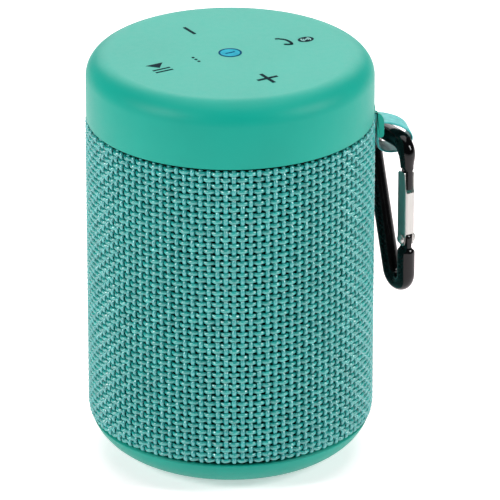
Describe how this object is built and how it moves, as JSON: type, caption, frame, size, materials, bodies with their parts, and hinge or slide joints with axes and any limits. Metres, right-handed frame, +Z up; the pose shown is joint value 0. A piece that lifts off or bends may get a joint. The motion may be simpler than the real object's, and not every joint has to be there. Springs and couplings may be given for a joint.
{
  "type": "portable bluetooth speaker",
  "caption": "Upright cylindrical speaker with a woven sleeve, a rubber cap with hidden keys, and a small carabiner on a ribbon loop.",
  "frame": {"origin": "centre of the foot pad's underside, on the surface that the speaker stands on", "axes": "+Z up along the cylinder, -Y towards the front driver, +X towards the carabiner side"},
  "size_m": [0.0879, 0.077, 0.1115],
  "materials": {
    "cap_rubber": "matt silicone rubber",
    "woven_fabric": "coarse plain weave",
    "base_rubber": "matt silicone rubber",
    "flap_rubber": "matt silicone rubber",
    "strap_ribbon": "satin woven ribbon",
    "black_enamel": "gloss black enamel",
    "gate_steel": "nickel plated",
    "bright_steel": "zinc plated",
    "screw_steel": "black zinc",
    "grille_steel": "satin powder coat",
    "black_rubber": "matt",
    "black_plastic": "fine grain",
    "key_plastic": "satin",
    "clear_plastic": "clear",
    "cone_paper": "pressed fibre",
    "copper_wire": "enamelled",
    "spider_cloth": "resin stiffened",
    "magnet_ferrite": "matt",
    "board_laminate": "solder mask",
    "chip_epoxy": "moulded",
    "battery_wrap": "shrink sleeve"
  },
  "bodies": {
    "case": {"top_cap": "cap_rubber", "strap_bar": "bright_steel", "fabric_sleeve": "woven_fabric", "grille_tube": "grille_steel", "lid_seal": "black_rubber", "port_bezel": "black_plastic", "base_ring": "base_rubber", "foot_pad": "base_rubber", "base_plate": "black_plastic", "chassis": "black_plastic", "driver_basket": "grille_steel", "driver_gasket": "black_rubber", "driver_surround": "black_rubber", "driver_spider": "spider_cloth", "driver_top_plate": "bright_steel", "driver_magnet": "magnet_ferrite", "driver_yoke": "bright_steel", "passive_frame": "black_plastic", "passive_surround": "black_rubber", "top_deck": "black_plastic", "key_board": "board_laminate", "power_light_pipe": "clear_plastic", "power_led": "clear_plastic", "microphone": "bright_steel", "battery_cradle": "black_plastic", "battery_cell": "battery_wrap", "main_board": "board_laminate", "usb_port": "bright_steel", "radio_module": "bright_steel", "amplifier_chip": "chip_epoxy", "speaker_lead": "black_rubber", "volume_down_switch": "chip_epoxy", "call_pair_switch": "chip_epoxy", "play_pause_switch": "chip_epoxy", "volume_up_switch": "chip_epoxy", "power_switch": "chip_epoxy", "base_screw_1": "screw_steel", "deck_screw_1": "screw_steel", "driver_screw_1": "screw_steel", "base_screw_2": "screw_steel", "deck_screw_2": "screw_steel", "driver_screw_2": "screw_steel", "base_screw_3": "screw_steel", "deck_screw_3": "screw_steel", "driver_screw_3": "screw_steel"},
    "volume_down_key": {"volume_down_key": "key_plastic"},
    "call_pair_key": {"call_pair_key": "key_plastic"},
    "play_pause_key": {"play_pause_key": "key_plastic"},
    "volume_up_key": {"volume_up_key": "key_plastic"},
    "power_key": {"power_key": "key_plastic"},
    "cone": {"driver_cone": "cone_paper", "dust_cap": "cone_paper", "voice_coil": "copper_wire"},
    "radiator": {"passive_weight": "grille_steel"},
    "strap": {"strap_loop": "strap_ribbon"},
    "carabiner": {"carabiner_body": "black_enamel", "gate_rivet": "gate_steel"},
    "gate": {"carabiner_gate": "gate_steel", "gate_spring": "bright_steel"},
    "flap": {"port_cover": "flap_rubber"}
  },
  "joints": [
    {"name": "volume_down_press", "type": "slide", "parent": "case", "child": "volume_down_key", "axis": [0, 0, -1], "range_m": [0, 0.0003], "stiffness_N_per_m": 2000},
    {"name": "call_pair_press", "type": "slide", "parent": "case", "child": "call_pair_key", "axis": [0, 0, -1], "range_m": [0, 0.0003], "stiffness_N_per_m": 2000},
    {"name": "play_pause_press", "type": "slide", "parent": "case", "child": "play_pause_key", "axis": [0, 0, -1], "range_m": [0, 0.0003], "stiffness_N_per_m": 2000},
    {"name": "volume_up_press", "type": "slide", "parent": "case", "child": "volume_up_key", "axis": [0, 0, -1], "range_m": [0, 0.0003], "stiffness_N_per_m": 2000},
    {"name": "power_press", "type": "slide", "parent": "case", "child": "power_key", "axis": [0, 0, -1], "range_m": [0, 0.0003], "stiffness_N_per_m": 2000},
    {"name": "cone_travel", "type": "slide", "parent": "case", "child": "cone", "axis": [0, -1, 0], "range_m": [-0.001, 0.001], "stiffness_N_per_m": 1500, "deforming": ["driver_surround", "driver_spider"]},
    {"name": "radiator_travel", "type": "slide", "parent": "case", "child": "radiator", "axis": [0, 1, 0], "range_m": [-0.0012, 0.0012], "stiffness_N_per_m": 1200, "deforming": ["passive_surround"]},
    {"name": "strap_swing", "type": "hinge", "parent": "case", "child": "strap", "pos_m": [0.03966, 0.00685, 0.0891], "axis": [0.1702, -0.9854, 0], "range_deg": [0, 75]},
    {"name": "carabiner_swing", "type": "hinge", "parent": "strap", "child": "carabiner", "pos_m": [0.04277, 0.00874, 0.0847], "axis": [0.5299, -0.848, 0], "range_deg": [0, 30]},
    {"name": "gate_open", "type": "hinge", "parent": "carabiner", "child": "gate", "pos_m": [0.0468, 0.0023, 0.0576], "axis": [-0.848, -0.5299, 0], "range_deg": [0, 22], "stiffness_Nm_per_rad": 0.02},
    {"name": "port_cover_hinge", "type": "hinge", "parent": "case", "child": "flap", "pos_m": [0, 0.0389, 0.0155], "axis": [-1, 0, 0], "range_deg": [0, 110], "stiffness_Nm_per_rad": 0.004}
  ]
}
